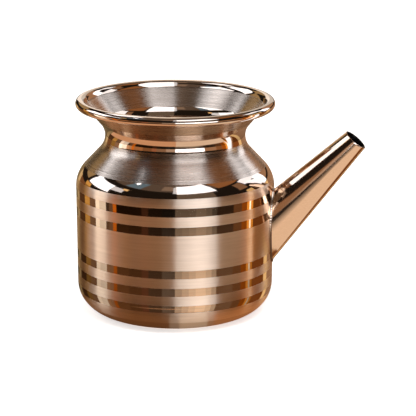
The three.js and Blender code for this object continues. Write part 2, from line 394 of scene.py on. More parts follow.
# %% Surround, ceiling, windows and lamps
ALL_ROUND = (-180, 180)
FAR_CARDS = [
    ("dark_surround", (0.2, 54), 1.35, (0.016, 0.012, 0.009)),
    ("brown_ceiling", (47, 90), 1.30, (0.13, 0.10, 0.08)),
]
for name, rises, distance, colour in FAR_CARDS:
    card(name, ALL_ROUND, rises, distance, colour)
HIGH_CARDS = [
    ("front_wall", (3, 50), (9, 40), CREAM, 0.16),
    ("front_window", (3, 57), (40, 67), COOL, 2.2),
    ("front_window_edge", (-2, 3), (42, 64), COOL, 0.9),
    ("front_window_side", (-20, -2), (52, 66), GREY_BROWN, 0.30),
    ("left_window_high", (-122, -84), (17, 38), COOL, 2.4),
    ("left_window_side", (-84, -66), (26, 37), COOL, 1.0),
    ("lamp_left_high", (-126, -114), (5, 15), GOLD, 0.85),
    ("lamp_overhead", (-69, -61), (34, 39), PALE_GOLD, 1.2),
    ("blue_ceiling", (-76, -50), (48, 66), BLUE, 0.36),
    ("small_lamp", (-72, -67), (59, 63), COOL, 6.0),
    ("gold_wall_left", (-160, -128), (18, 34), PALE_GOLD, 0.42),
    ("right_wall_high", (84, 98), (24, 42), BROWN, 0.28),
    ("warm_ceiling_right", (64, 112), (46, 64), UMBER, 0.34),
    ("lamp_right_high", (92, 115), (8, 19), PALE_GOLD, 0.85),
    ("right_window_side", (121, 136), (9, 33), COOL, 2.2),
    ("right_window_top", (100, 130), (32, 44), COOL, 1.6),
    ("back_wall_right", (136, 158), (12, 34), BROWN, 0.45),
    ("back_window_right", (160, 180), (8, 66), DAYLIGHT, 0.75),
    ("back_window_left", (180, 198), (8, 66), DAYLIGHT, 1.15),
]
HIGH_DISTANCE = 1.2
HIGH_SPACING = 0.004
for order, (name, turns, rises, tint, level) in enumerate(HIGH_CARDS):
    distance = HIGH_DISTANCE - HIGH_SPACING * order
    card(name, turns, rises, distance, tinted(tint, level))

OVERHEAD_RIGHTS = (-0.100, -0.040)
OVERHEAD_FRONTS = (-0.055, 0.010)
OVERHEAD_HEIGHT = 0.215
OVERHEAD_GLOW = tinted(COOL, 2.2)


def over_pot(across, along):
    """A place on the small window that hangs over the left of the pot."""
    level = to_right * between(OVERHEAD_RIGHTS, across) + to_camera * between(OVERHEAD_FRONTS, along)
    return level + up * OVERHEAD_HEIGHT


stage_sheet("window_over_pot", over_pot, glow_material("window_over_pot", OVERHEAD_GLOW))
print(len(HIGH_CARDS), "windows, walls and lamps over the pot")

# %% [markdown]
# ## Walls and table round the pot
# The pot's upright wall mirrors the room round it as upright stripes. Each sector has a strip of wall
# and the strip of table in front of it, so that its stripe runs straight down through all the bands.
# They go from behind the pot on the camera's left round to behind it on the right. A row gives the
# tint, then the level of the wall, of the table next to the pot and of the table far from it.

# %% Sectors of wall and table
WALL_RISES = (0.4, 17)
WALL_DISTANCE = 0.33
TABLE_REACHES = (0.012, 0.32)
TABLE_FADE = (0.105, 0.26)
TABLE_HEIGHT = 0.3 * MM
SURROUNDINGS = [
    ("back_left", (-180, -156), PALE_GOLD, 0.26, 0.12, 0.20),
    ("gold_edge_left", (-156, -146), PALE_GOLD, 0.75, 0.25, 0.45),
    ("shade_left", (-146, -128), UMBER, 0.22, 0.04, 0.10),
    ("gold_left", (-128, -116), GOLD, 0.36, 0.15, 0.65),
    ("brown_left", (-116, -104), BROWN, 0.36, 0.15, 0.20),
    ("left_window", (-104, -97), DAYLIGHT, 2.3, 0.75, 1.35),
    ("left_window_pane", (-97, -86), DAYLIGHT, 1.7, 0.62, 0.95),
    ("left_window_bar", (-86, -81), BROWN, 0.80, 0.28, 0.06),
    ("beside_window", (-81, -75.5), BROWN, 0.60, 0.22, 0.14),
    ("orange_stripe", (-75.5, -70.5), ORANGE, 0.85, 0.28, 0.62),
    ("umber_left", (-70.5, -54), UMBER, 0.48, 0.12, 0.012),
    ("dark_left", (-54, -38), UMBER, 0.28, 0.09, 0.012),
    ("red_stripe", (-38, -30), RED, 0.42, 0.11, 0.05),
    ("dark_front", (-30, -14), BROWN, 0.33, 0.07, 0.012),
    ("grey_front", (-14, 1), GREY_BROWN, 0.55, 0.13, 0.008),
    ("front_left", (1, 9), CREAM, 0.60, 0.48, 0.13),
    ("front_near_left", (9, 17), CREAM, 0.70, 0.66, 0.13),
    ("front", (17, 25), CREAM, 0.80, 0.84, 0.14),
    ("front_middle", (25, 37), CREAM, 0.85, 1.00, 0.18),
    ("front_near_right", (37, 44), CREAM, 0.80, 0.80, 0.14),
    ("front_right", (44, 50), CREAM, 0.60, 0.52, 0.07),
    ("brown_right", (50, 72), BROWN, 0.46, 0.17, 0.03),
    ("umber_right", (72, 84), UMBER, 0.32, 0.14, 0.14),
    ("orange_right", (84, 92.5), ORANGE, 0.50, 0.24, 0.30),
    ("gold_lamp_left", (92.5, 96.5), AMBER, 1.4, 0.55, 1.10),
    ("gold_lamp", (96.5, 99), DAYLIGHT, 3.4, 0.45, 2.0),
    ("gold_lamp_right", (99, 103), AMBER, 1.3, 0.40, 1.00),
    ("rust_right", (103, 129), RUST, 0.30, 0.20, 0.15),
    ("pale_right", (129, 139), PALE_GOLD, 1.1, 0.95, 0.70),
    ("back_right", (139, 180), BROWN, 0.42, 0.36, 0.30),
]
for name, turns, tint, wall, near, far in SURROUNDINGS:
    card("wall_" + name, turns, WALL_RISES, WALL_DISTANCE, tinted(tint, wall), mirrored_point)
    glow = glow_material("table_" + name, tinted(tint, near), tinted(tint, far), TABLE_FADE)
    table_sector("table_" + name, turns, TABLE_REACHES, TABLE_HEIGHT, glow, mirrored_point)

print(len(SURROUNDINGS), "sectors round the pot")

# %% [markdown]
# ## Low windows, and the rest of the table
# Low windows stand in front of the wall, where the satin shines brightest. The rest of the table is
# sheets at heights of their own: a dark one beyond the sectors, a brown one under them, a ring of
# sectors round the foot for its rounded corner, dimmer next to the pot as painted contact shade, and
# two peach sectors that only show when seen steeply. The spout's underside, the neck and the roll see
# those two, and the pot's wall doesn't.

# %% Low windows and the rest of the table
WHOLE_TABLES = [
    ("table_beyond", (0.30, 1.36), 0.2 * MM, (0.02, 0.015, 0.01)),
    ("table_near", (0.050, 0.32), 0.1 * MM, tinted(UMBER, 0.12)),
]
for name, reaches, height, colour in WHOLE_TABLES:
    table_sector(name, ALL_ROUND, reaches, height, glow_material(name, colour))

LOW_WINDOW_RISES = (0.9, 18.5)
LOW_WINDOW_DISTANCE = 0.325
LOW_WINDOWS = [
    ("low_window_left", (1, 12), 2.7),
    ("low_window_near_left", (12, 20), 3.5),
    ("low_window", (20, 40), 4.2),
    ("low_window_right", (40, 50), 3.0),
]
for name, turns, level in LOW_WINDOWS:
    card(name, turns, LOW_WINDOW_RISES, LOW_WINDOW_DISTANCE, tinted(COOL, level), mirrored_point)

FOOT_REACHES = (0.028, 0.057)
FOOT_FADE = (0.030, 0.056)
FOOT_HEIGHT = 0.4 * MM
# Round the foot each sector glows dimmer next to the pot than further out: painted contact shade on
# the table, which the base's rounded corner mirrors.
FOOT_SHADE_SECTORS = [
    ("foot_left", (-180, -3), UMBER, 0.06, 0.30),
    ("foot_edge_left", (-3, 4), GREY_BROWN, 0.14, 0.50),
    ("foot_front", (4, 24), CREAM, 0.22, 0.90),
    ("foot_edge_right", (24, 29), BROWN, 0.18, 0.60),
    ("foot_right", (29, 100), UMBER, 0.22, 0.70),
    ("foot_back", (100, 180), UMBER, 0.12, 0.40),
]
for name, turns, tint, near, far in FOOT_SHADE_SECTORS:
    glow = glow_material(name, tinted(tint, near), tinted(tint, far), FOOT_FADE)
    table_sector(name, turns, FOOT_REACHES, FOOT_HEIGHT, glow)

STEEP_TABLE_REACHES = (0.074, 0.19)
STEEP_TABLE_LEANING = (0.585, 0.560)
STEEP_TABLE_HEIGHT = 0.6 * MM
STEEP_SECTORS = [
    ("steep_table_left", (-130, 2), BROWN, 0.80),
    ("steep_table", (2, 86), CREAM, 0.95),
]
for name, turns, tint, level in STEEP_SECTORS:
    steep_glow = glow_material(name, tinted(tint, level), leaning=STEEP_TABLE_LEANING)
    table_sector(name, turns, STEEP_TABLE_REACHES, STEEP_TABLE_HEIGHT, steep_glow)


# %% [markdown]
# ## The strip light beside the spout
# The photograph shows one long white stripe down the spout. A narrow strip light held parallel to
# the spout, to the left of it and above, gives that stripe without lighting the pot's wall.

# %% Strip light
STRIP_TURN = math.radians(-68)
STRIP_RISE = math.radians(30)
STRIP_SPAN = (22 * MM, 64 * MM)
STRIP_ASIDE = 18 * MM
STRIP_WIDTH = 7 * MM
STRIP_GLOW = tinted(COOL, 1.8)
spout_start = Vector((WALL_BOTTOM_RADIUS, 0, SPOUT_ROOT_HEIGHT))
strip_side = studio_point(STRIP_TURN, STRIP_RISE, 1)
strip_across = strip_side.cross(along_spout).normalized()


def beside_spout(across, along):
    """A place on the strip, which is held parallel to the spout over its left side."""
    on_spout = spout_start + along_spout * between(STRIP_SPAN, along)
    return on_spout + strip_side * STRIP_ASIDE + strip_across * STRIP_WIDTH * (across - 0.5)


stage_sheet("spout_strip", beside_spout, glow_material("spout_strip", STRIP_GLOW))
print("strip light", round((STRIP_SPAN[1] - STRIP_SPAN[0]) / MM), "mm long")

# %% [markdown]
# ## Lamps
# Two large soft lamps light the floor and give the pot its soft shadow. The metal doesn't mirror
# them: all that it shows comes from the sheets above.

# %% Soft lamps
def soft_lamp(name, turn, rise, distance, width, height, power):
    """An area lamp that faces the pot."""
    lamp = bpy.data.lights.new(name, "AREA")
    lamp.shape = "RECTANGLE"
    lamp.size = width
    lamp.size_y = height
    lamp.energy = power
    holder = bpy.data.objects.new(name, lamp)
    bpy.context.scene.collection.objects.link(holder)
    where = studio_point(math.radians(turn), math.radians(rise), distance)
    holder.rotation_mode = "QUATERNION"
    holder.location = where
    holder.rotation_quaternion = (-where).to_track_quat("-Z", "Y")
    holder.visible_glossy = False
    print(name, power, "W at", [round(c, 2) for c in where])


soft_lamp("key_lamp", turn=24, rise=58, distance=1.5, width=0.9, height=0.7, power=14)
soft_lamp("fill_lamp", turn=-95, rise=40, distance=1.5, width=0.7, height=0.9, power=7)

# %% [markdown]
# ## Turned grain
# A satin band is brushed by holding an abrasive against the turning pot, so its scratches run round
# the axis: very fine across, long around. The group takes the place on the pot, turns it into a
# radius and a direction round the axis, and feeds both to noise that is stretched along the circle.
# Because the direction goes in as its sine and cosine, the grain closes on itself with no seam.

# %% Shader group for turned grain
GRAIN_ACROSS = 5200.0
GRAIN_AROUND = 5.0
STREAK_SHARE = 0.22
NEAR_AXIS = 0.1 * MM

# It gives the height and the tone of the scratches.
turned_grain = bpy.data.node_groups.new("turned_grain", "ShaderNodeTree")
for name in ("Height", "Tone"):
    turned_grain.interface.new_socket(name, in_out="OUTPUT", socket_type="NodeSocketFloat")
x, y, z = object_axes(turned_grain)
radius = length_of(turned_grain, joined(turned_grain, x, y, 0.0))
safe_radius = math_node(turned_grain, "MAXIMUM", radius, NEAR_AXIS)
cosine = math_node(turned_grain, "DIVIDE", x, safe_radius)
sine = math_node(turned_grain, "DIVIDE", y, safe_radius)
fine = joined(
    turned_grain,
    math_node(turned_grain, "MULTIPLY", z, GRAIN_ACROSS),
    math_node(turned_grain, "MULTIPLY", radius, GRAIN_ACROSS),
    math_node(turned_grain, "MULTIPLY", cosine, GRAIN_AROUND),
)
turn = math_node(turned_grain, "MULTIPLY", sine, GRAIN_AROUND)
broad = add_node(
    turned_grain, "ShaderNodeVectorMath", {0: fine, "Scale": STREAK_SHARE}, operation="SCALE"
)
scratches = speckle(turned_grain, fine, 1.0, 3.0, 0.62, turn)
streaks = speckle(turned_grain, broad.outputs[0], 1.0, 4.0, 0.6, turn)
add_node(turned_grain, "NodeGroupOutput", {"Height": scratches, "Tone": streaks})
print("shader group", turned_grain.name, [item.name for item in turned_grain.interface.items_tree])

# %% [markdown]
# ## Metal finishes
# All the pieces are the same warm-toned metal. What differs is how far each surface was taken: satin
# where it was only brushed, dark and glossy where it was buffed to a mirror. The inner faces are
# duller, and their dark grey is painted shade; the flare's underside and the spout's bore are
# darkened by painted shade too. A brushed surface spreads a reflection across its scratches and keeps
# it sharp along them, which Cycles calls anisotropy. The tangent of a turned piece runs round its
# axis, so the anisotropy is turned a quarter, to spread light up and down the wall.

# %% Where polishing has worn the satin
HALO_BOTTOM = 24 * MM
HALO_TOP = 66.5 * MM
HALO_HALF_WIDTH = 4.5 * MM
HALO_SPREAD = 0.2
HALO_SPREAD_FROM = 27 * MM
HALO_EDGE = 0.5 * MM
HALO_ROUGHNESS = 0.08

# Polishing the weld beside the spout's root has worn through the satin. The halo is 1 there.
polish_halo = bpy.data.node_groups.new("polish_halo", "ShaderNodeTree")
polish_halo.interface.new_socket("Halo", in_out="OUTPUT", socket_type="NodeSocketFloat")
x, y, z = object_axes(polish_halo)
over = math_node(polish_halo, "SUBTRACT", z, HALO_SPREAD_FROM)
reach = math_node(polish_halo, "MULTIPLY_ADD", over, HALO_SPREAD, HALO_HALF_WIDTH)
aside = math_node(polish_halo, "ABSOLUTE", y)
least = x
for larger, smaller in ((reach, aside), (z, HALO_BOTTOM), (HALO_TOP, z)):
    within = math_node(polish_halo, "SUBTRACT", larger, smaller)
    least = math_node(polish_halo, "MINIMUM", least, within)
add_node(polish_halo, "NodeGroupOutput", {"Halo": ranged(polish_halo, least, 0, HALO_EDGE)})
print("halo from", round(HALO_BOTTOM / MM), "mm up to", HALO_TOP / MM, "mm")

# %% Turned metal materials
QUARTER_TURN = 0.25
SCRATCH_HEIGHTS = (0.25, 0.75)


def turned_metal(name, light, dark, roughness, anisotropic, depth, spread):
    """Metal worked on the turning pot. Light and dark are its two tones along the scratches.

    The depth of the scratches is in microns. The spread is how far the tones' noise reaches.
    """
    material, tree = new_material(name)
    grain = add_node(tree, "ShaderNodeGroup", {}, node_tree=turned_grain)
    halo = add_node(tree, "ShaderNodeGroup", {}, node_tree=polish_halo)
    height = grain.outputs["Height"]
    tone = ranged(tree, grain.outputs["Tone"], 0.5 - spread, 0.5 + spread)
    colour = mixed(tree, tone, (*dark, 1), (*light, 1))
    rough = ranged(tree, height, *SCRATCH_HEIGHTS, *roughness)
    worn = mixed(tree, halo.outputs["Halo"], rough, HALO_ROUGHNESS, "FLOAT")
    brushing = {"Anisotropic": anisotropic, "Anisotropic Rotation": QUARTER_TURN}
    bare_metal(tree, colour, worn, height, depth * MICRON, brushing)
    return material


# A finish has its name, its light and its dark tone, its roughness from the smoothest to the
# roughest scratch, its anisotropy, the depth of its scratches in microns, and its spread of tones.
FINISH_VALUES = {
    "satin": ("satin_band", (0.88, 0.67, 0.50), (0.76, 0.56, 0.40), (0.28, 0.42), 1.0, 10, 0.22),
    "polished": (
        "polished_band", (0.80, 0.60, 0.44), (0.72, 0.53, 0.38), (0.035, 0.07), 0.5, 0.6, 0.30
    ),
    "brushed": ("brushed_cone", (0.70, 0.55, 0.43), (0.50, 0.38, 0.29), (0.20, 0.34), 0.9, 5, 0.25),
    "buffed": ("buffed_round", (0.74, 0.57, 0.44), (0.66, 0.49, 0.37), (0.04, 0.08), 0.4, 0.5, 0.30),
    # The inner faces are duller unbuffed metal, and their dark grey is painted shade inside the
    # vessel, the throat, the groove and the roll.
    "inside": ("inside_dull_painted_shade", (0.40, 0.32, 0.26), (0.28, 0.22, 0.17), (0.28, 0.42), 0.6, 6, 0.30),
    # The flare's underside faces down, and its darker tones are painted shade on brushed metal.
    "shaded": ("flare_underside_shade", (0.50, 0.34, 0.22), (0.34, 0.23, 0.14), (0.20, 0.34), 0.9, 5, 0.25),
    # The spout's bore is near black: painted shade inside the tube, on the same metal as the outside.
    "dark": ("bore_painted_shade", (0.035, 0.03, 0.025), (0.015, 0.012, 0.01), (0.30, 0.45), 0.3, 4, 0.30),
    "base": ("base_satin", (0.74, 0.53, 0.37), (0.58, 0.40, 0.27), (0.26, 0.38), 0.8, 6, 0.30),
}
FINISHES = {finish: turned_metal(*values) for finish, values in FINISH_VALUES.items()}
print("finishes", sorted(FINISHES))

# %% [markdown]
# ## The pot's outline
# The cup and the collar are made by turning one outline round the axis. The outline is a list of
# arcs and straights, each starting where the one before it ends, so the reflections flow across the
# joins as they do on spun metal. An inset of one sheet gives the inner face.

# %% Outline of the pot
CORNER_STEPS = 24
SHOULDER_STEPS = 18
NECK_STEPS = 16
LIP_STEPS = 8
ROLL_STEPS = 48
BASE_RING_SHARE = 0.5


def heading(angle):
    """A step of 1 in a direction, as radius and height."""
    return Vector((math.cos(angle), math.sin(angle)))


def arc(centre, half_width, half_height, start, end, steps):
    """Points on an arc, or on part of an ellipse where the two radii differ."""
    angles = (start + (end - start) * i / steps for i in range(steps + 1))
    return [
        Vector((centre.x + half_width * math.cos(a), centre.y + half_height * math.sin(a)))
        for a in angles
    ]


corner_centre = Vector((WALL_BOTTOM_RADIUS - BASE_CORNER_WIDTH, BASE_CORNER_HEIGHT))
shoulder_centre = Vector((WALL_TOP_RADIUS - SHOULDER_ROUND, WALL_TOP_HEIGHT))
off_cone = heading(CONE_SLOPE)
up_cone = Vector((-off_cone.y, off_cone.x))
cone_start = shoulder_centre + SHOULDER_ROUND * off_cone
cone_end_radius = NECK_RADIUS + NECK_LOWER_ROUND * (1 - math.cos(CONE_SLOPE))
cone_rise = (cone_start.x - cone_end_radius) / math.tan(CONE_SLOPE)
neck_height = cone_start.y + cone_rise + NECK_LOWER_ROUND * math.sin(CONE_SLOPE)
lower_neck_centre = Vector((NECK_RADIUS + NECK_LOWER_ROUND, neck_height))
upper_neck_centre = Vector((NECK_RADIUS + NECK_UPPER_ROUND, neck_height))
under_flare = heading(-FLARE_SLOPE)
along_flare = Vector((-under_flare.y, under_flare.x))
flare_end = upper_neck_centre - NECK_UPPER_ROUND * under_flare + FLARE_LENGTH * along_flare
lip_centre = flare_end - LIP_ROUND * under_flare
roll_bore = RIM_ROLL_RADIUS - SHEET
roll_centre = lip_centre + (LIP_ROUND + roll_bore) * heading(-LIP_SLOPE)


def on_cone(distance, inset):
    """A point on the shoulder's cone, a distance up from its start and an inset into the sheet."""
    return cone_start + up_cone * distance - off_cone * inset


def cup_face(inset):
    """One face of the cup, from the centre of the base up to the weld ring."""
    corner = BASE_CORNER_WIDTH - inset, BASE_CORNER_HEIGHT - inset
    round_radius = SHOULDER_ROUND - inset
    return [
        Vector((0, inset)),
        Vector((corner_centre.x * BASE_RING_SHARE, inset)),
        *arc(corner_centre, *corner, -math.pi / 2, 0, CORNER_STEPS),
        *arc(shoulder_centre, round_radius, round_radius, 0, CONE_SLOPE, SHOULDER_STEPS),
        on_cone(RING_WELD_RISE - RING_WELD_WIDTH / 2, inset),
    ]


def neck_face(inset, groove=()):
    """One face of the collar below its roll, from the weld ring up to the top of the lip."""
    lip = LIP_ROUND - inset
    lower, upper = NECK_LOWER_ROUND + inset, NECK_UPPER_ROUND + inset
    flare = math.pi - FLARE_SLOPE
    return [
        on_cone(RING_WELD_RISE + RING_WELD_WIDTH / 2, inset),
        *arc(lower_neck_centre, lower, lower, math.pi + CONE_SLOPE, math.pi, NECK_STEPS),
        *arc(upper_neck_centre, upper, upper, math.pi, flare, NECK_STEPS)[1:],
        *(groove or [flare_end - inset * under_flare]),
        *arc(lip_centre, lip, lip, -FLARE_SLOPE, -LIP_SLOPE, LIP_STEPS)[1:],
    ]


def roll_face(inset):
    """One face of the curl. The inner face of the neck becomes the outside of the roll."""
    radius = roll_bore + inset
    start = math.pi - LIP_SLOPE
    return arc(roll_centre, radius, radius, start, start - RIM_ROLL_TURN, ROLL_STEPS)


print("neck at z", round(neck_height / MM, 2), "mm, rim at", round(roll_centre.y / MM, 2), "mm")

# %% [markdown]
# ## Bands of finish
# The polisher's bands have crisp edges at set heights. Each face of the outline is cut at those
# heights, and every cut piece carries the name of its finish, so that a band is real geometry with a
# clean edge and not a blurred mask.

# %% Tops of the bands in mm, from the base up
OVER_ALL = 200.0
CUP_BANDS = [
    (6.0, "base"),
    (11.8, "satin"),
    (15.3, "polished"),
    (20.0, "satin"),
    (23.9, "polished"),
    (28.7, "satin"),
    (32.6, "polished"),
    (49.75, "satin"),
    (53.9, "polished"),
    (58.9, "satin"),
    (63.1, "polished"),
    (67.6, "satin"),
    (73.5, "buffed"),
    (OVER_ALL, "brushed"),
]
COLLAR_BANDS = [
    (86.1, "brushed"),
    (95.5, "buffed"),
    # Above the buffed band the flare's underside takes "shaded": brushed metal darkened as painted
    # shade.
    (OVER_ALL, "shaded"),
]
GROOVE_HALF_WIDTH = 0.13 * MM
GROOVE_DEPTH = 0.12 * MM
groove_foot = flare_end - SHEET * under_flare
groove = [
    groove_foot - GROOVE_HALF_WIDTH * along_flare,
    groove_foot + GROOVE_DEPTH * under_flare,
    groove_foot + GROOVE_HALF_WIDTH * along_flare,
]
# Inside, the throat below the buffed band and the groove take the inside grey, whose darkness is
# painted shade.
INNER_COLLAR_BANDS = [
    (88.3, "inside"),
    (94.65, "buffed"),
    (groove[0].y / MM, "brushed"),
    (groove[2].y / MM, "inside"),
    (OVER_ALL, "buffed"),
]


def banded(face, bands):
    """Cuts a rising face at the top of each band. Gives pairs of points and finish."""
    sections = []
    rest = [point.copy() for point in face]
    for top_mm, finish in bands:
        top = top_mm * MM
        here = [rest[0]]
        while len(rest) > 1 and rest[1].y <= top:
            rest.pop(0)
            here.append(rest[0])
        if len(rest) > 1 and rest[0].y < top:
            share = (top - rest[0].y) / (rest[1].y - rest[0].y)
            cut = rest[0].lerp(rest[1], share)
            here.append(cut)
            rest[0] = cut
        if len(here) > 1:
            sections.append((here, finish))
    return sections


print(len(CUP_BANDS), "bands on the cup,", len(COLLAR_BANDS), "on the collar outside")

# %% [markdown]
# ## Turning a shell
# Each banded section is a chain of edges that a spin sweeps round the axis, and the strips are then
# merged into one closed shell. A full spin merges its last column with its first. The normals are
# recalculated once the doubles are gone, because spin can leave a strip inside out.

# %% Helpers for turned pieces
TURN_STEPS = 192
SAME_PLACE = 0.002 * MM
SHARP_ANGLE = math.radians(35)


def to_object(name, bm, finishes):
    """Closes a bmesh into an object with smooth faces, sharp at real edges."""
    bmesh.ops.recalc_face_normals(bm, faces=bm.faces)
    for face in bm.faces:
        face.smooth = True
    for edge in bm.edges:
        edge.smooth = edge.calc_face_angle(0) < SHARP_ANGLE
    piece = mesh_object(name, bm, finishes)
    triangles = sum(len(polygon.vertices) - 2 for polygon in piece.data.polygons)
    print(name, triangles, "triangles")
    return piece


def turned_piece(name, sections):
    """A piece turned from its sections, with a material for each finish that they use."""
    names = sorted({finish for _, finish in sections})
    bm = bmesh.new()
    for points, finish in sections:
        known = set(bm.faces)
        verts = [bm.verts.new((point.x, 0, point.y)) for point in points]
        edges = [bm.edges.new(pair) for pair in zip(verts, verts[1:])]
        spin_round(bm, verts + edges, TURN_STEPS)
        for face in bm.faces:
            if face not in known:
                face.material_index = names.index(finish)
    bmesh.ops.remove_doubles(bm, verts=bm.verts, dist=SAME_PLACE)
    return to_object(name, bm, [FINISHES[n] for n in names])


# %% [markdown]
# ## The spout's shape
# The spout is a tapered tube of sheet, nearly round at the mouth and a tall oval where it meets the
# wall. Each of its straight lines is found by its angle round the spout: it starts on the wall and
# ends on the plane of the mouth.

# %% Points of the spout
up_from_spout = Vector((-math.sin(SPOUT_SLOPE), 0, math.cos(SPOUT_SLOPE)))
mouth_normal = Vector((math.cos(SPOUT_MOUTH_TILT), 0, math.sin(SPOUT_MOUTH_TILT)))
BISECTIONS = 36


def wall_radius(height):
    """The wall's outer radius at a height, below the shoulder and on its round."""
    if height > WALL_TOP_HEIGHT:
        rise = min(1, (height - WALL_TOP_HEIGHT) / SHOULDER_ROUND)
        return shoulder_centre.x + SHOULDER_ROUND * math.sqrt(1 - rise * rise)
    share = (height - BASE_CORNER_HEIGHT) / (WALL_TOP_HEIGHT - BASE_CORNER_HEIGHT)
    return WALL_BOTTOM_RADIUS + WALL_TAPER * max(0, share)


root_centre = Vector((wall_radius(SPOUT_ROOT_HEIGHT), 0, SPOUT_ROOT_HEIGHT))
mouth_centre = root_centre + along_spout * SPOUT_LENGTH


def spout_halves(distance, margin):
    """Half height and half width of the spout at a distance from its root."""
    share = distance / SPOUT_LENGTH
    half_height = between((SPOUT_ROOT_HALF_HEIGHT, SPOUT_MOUTH_HALF_HEIGHT), share)
    half_width = between((SPOUT_ROOT_HALF_WIDTH, SPOUT_MOUTH_HALF_WIDTH), share)
    return half_height + margin, half_width + margin


def spout_point(distance, angle, margin=0.0):
    """A point of the spout. Angle 0 is its +Y side, and a quarter turn is its top."""
    half_height, half_width = spout_halves(distance, margin)
    point = root_centre + along_spout * distance + up_from_spout * half_height * math.sin(angle)
    return point + Vector((0, half_width * math.cos(angle), 0))


def crossing(inside, outside, is_outside):
    """The distance at which a test turns true, found by halving."""
    for _ in range(BISECTIONS):
        middle = (inside + outside) / 2
        if is_outside(middle):
            outside = middle
        else:
            inside = middle
    return (inside + outside) / 2


def distance_at_wall(angle, margin=0.0, clearance=0.0):
    """Where one of the spout's lines leaves the wall."""

    def is_outside(distance):
        point = spout_point(distance, angle, margin)
        return point.xy.length > wall_radius(point.z) + clearance

    return crossing(-2 * SPOUT_ROOT_HALF_HEIGHT, SPOUT_LENGTH / 2, is_outside)


def distance_at_mouth(angle, margin=0.0):
    """Where one of the spout's lines meets the plane of the mouth."""

    def is_outside(distance):
        return (spout_point(distance, angle, margin) - mouth_centre).dot(mouth_normal) > 0

    return crossing(SPOUT_LENGTH / 2, SPOUT_LENGTH * 1.5, is_outside)


def root_point(angle):
    """The line on which the spout's outer face meets the wall."""
    return spout_point(distance_at_wall(angle), angle)


UNDERSIDE = -math.pi / 2
root_top, root_bottom = root_point(-UNDERSIDE), root_point(UNDERSIDE)
print("spout root from", round(root_bottom.z / MM, 1), "to", round(root_top.z / MM, 1), "mm high")

# %% [markdown]
# ## Piece: the cup
# The cup holds the base, the wall and the shoulder. It is turned from its outer face, its inner face
# and the thin edge that joins them, and an oval hole is cut through the wall behind the spout. A
# boolean with an oval rod cuts it, and the result is taken into the mesh at once.

# %% Body cup
HOLE_SIDES = 64

outer_cup, inner_cup = cup_face(0), cup_face(SHEET)
# The cup's inner face takes the inside grey, whose darkness is painted shade.
cup_sections = banded(outer_cup, CUP_BANDS) + banded(inner_cup, [(OVER_ALL, "inside")])
cup_sections.append(([outer_cup[-1], inner_cup[-1]], "buffed"))
body_cup = turned_piece("pot_cup", cup_sections)

bm = bmesh.new()
bmesh.ops.create_cone(
    bm, cap_ends=True, segments=HOLE_SIDES, radius1=1, radius2=1, depth=WALL_BOTTOM_RADIUS
)
hole_half_height = (root_top.z - root_bottom.z) / 2 - SPOUT_HOLE_LEDGE
hole_half_width = root_point(0).y - SPOUT_HOLE_LEDGE
bmesh.ops.rotate(bm, verts=bm.verts, matrix=Matrix.Rotation(math.pi / 2, 3, "Y"))
bmesh.ops.scale(bm, verts=bm.verts, vec=(1, hole_half_width, hole_half_height))
hole_height = (root_top.z + root_bottom.z) / 2
bmesh.ops.translate(bm, verts=bm.verts, vec=(WALL_BOTTOM_RADIUS, 0, hole_height))
hole_rod = mesh_object("hole_rod", bm)
cut = body_cup.modifiers.new("spout_hole", "BOOLEAN")
cut.operation = "DIFFERENCE"
cut.solver = "EXACT"
cut.object = hole_rod
graph = bpy.context.evaluated_depsgraph_get()
finished = bpy.data.meshes.new_from_object(body_cup.evaluated_get(graph))
body_cup.modifiers.clear()
body_cup.data = finished
bpy.data.objects.remove(hole_rod)
print("hole", round(2 * hole_half_width / MM, 1), "by", round(2 * hole_half_height / MM, 1), "mm")
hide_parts("body_cup")
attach(body_cup, "root")

# %% [markdown]
# ## Piece: the collar and its rolled rim
# The collar is spun from the same sheet and turned outward at the mouth, and its edge is rolled into
# a hollow bead, so that no raw edge is left to the hand. Inside, a fine groove is cut at the foot of
# the polished lip.

# %% Neck collar
outer_neck, inner_neck = neck_face(0), neck_face(SHEET, groove)
roll_inside, roll_outside = roll_face(0), roll_face(SHEET)
collar_sections = banded(outer_neck, COLLAR_BANDS) + banded(inner_neck, INNER_COLLAR_BANDS)
# The inside of the roll takes the inside grey with its painted shade.
collar_sections += [
    (roll_inside, "inside"),
    (roll_outside, "buffed"),
    ([roll_inside[-1], roll_outside[-1]], "buffed"),
    ([outer_neck[0], inner_neck[0]], "brushed"),
]
neck_collar = turned_piece("pot_collar", collar_sections)
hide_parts("neck_collar")
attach(neck_collar, "root")

# %% [markdown]
# ## Piece: the weld ring
# Cup and collar meet edge to edge and are welded round. Outside, the ring is ground down until only
# a fine line is left, and inside it stands a little proud.

# %% Shoulder weld
RING_CROWN = 0.06 * MM
RING_INNER_CROWN = 0.3 * MM
ring_low = RING_WELD_RISE - RING_WELD_WIDTH / 2
ring_high = RING_WELD_RISE + RING_WELD_WIDTH / 2
ring_outline = [
    on_cone(ring_low, 0),
    on_cone(RING_WELD_RISE, -RING_CROWN),
    on_cone(ring_high, 0),
    on_cone(ring_high, SHEET),
    on_cone(RING_WELD_RISE, SHEET + RING_INNER_CROWN),
    on_cone(ring_low, SHEET),
    on_cone(ring_low, 0),
]
shoulder_weld = turned_piece("pot_shoulder_weld", [(ring_outline, "brushed")])
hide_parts("shoulder_weld")
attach(shoulder_weld, "root")

# %% [markdown]
# ## Piece: the spout
# The spout is made from a circle of edges, drawn up ring by ring into an open tube and then moved
# onto the lines found above, once for its outer face and once for its inner one. Joining the two at
# the mouth and at the root closes the sheet. At the mouth a fine bevel rounds the outer edge, and a
# wider one on the bore side carries the bore's painted shade, leaving only a thin bright line of
# metal.

